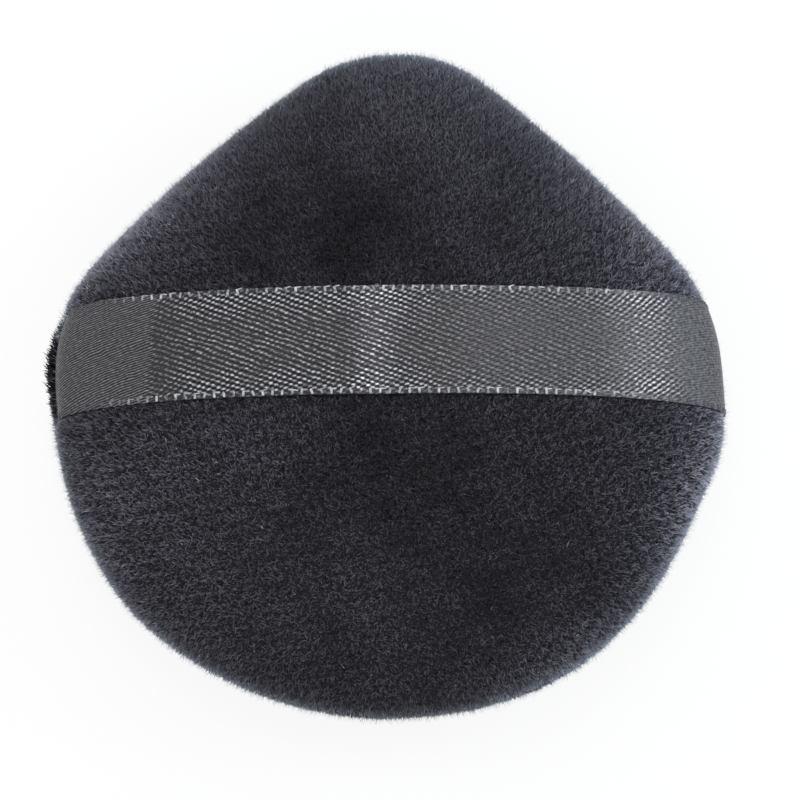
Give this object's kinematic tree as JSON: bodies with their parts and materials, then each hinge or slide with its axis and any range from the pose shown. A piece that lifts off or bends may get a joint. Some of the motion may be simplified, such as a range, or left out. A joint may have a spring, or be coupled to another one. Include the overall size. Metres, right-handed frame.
{
  "type": "powder puff",
  "caption": "Soft teardrop velour pad with a foam core and a satin ribbon sewn across its back, held by fingers under the ribbon to press and pat on loose powder.",
  "frame": {"origin": "middle of the pad's outline box, on the surface that its front face rests on", "axes": "+Z out of the back, through the ribbon; +Y towards the tip; +X along the ribbon"},
  "size_m": [0.0812, 0.0812, 0.0206],
  "materials": {
    "velour": "matte",
    "satin_ribbon": "satin",
    "foam": "matte",
    "sewing_thread": "satin"
  },
  "bodies": {
    "pad": {"back_velour_panel": "velour", "foam_core": "foam", "seam_needle_thread": "sewing_thread", "seam_bobbin_thread": "sewing_thread", "closing_thread": "sewing_thread", "ribbon_left_end": "satin_ribbon", "ribbon_right_end": "satin_ribbon"},
    "strap": {"ribbon_strap": "satin_ribbon"},
    "face": {"front_velour_panel": "velour"}
  },
  "joints": [
    {"name": "strap_lift", "type": "slide", "parent": "pad", "child": "strap", "axis": [0, 0, 1], "range_m": [0, 0.01]},
    {"name": "face_press", "type": "slide", "parent": "pad", "child": "face", "axis": [0, 0, 1], "range_m": [0, 0.004], "stiffness_N_per_m": 250, "deforming": ["front_velour_panel", "foam_core"]}
  ]
}
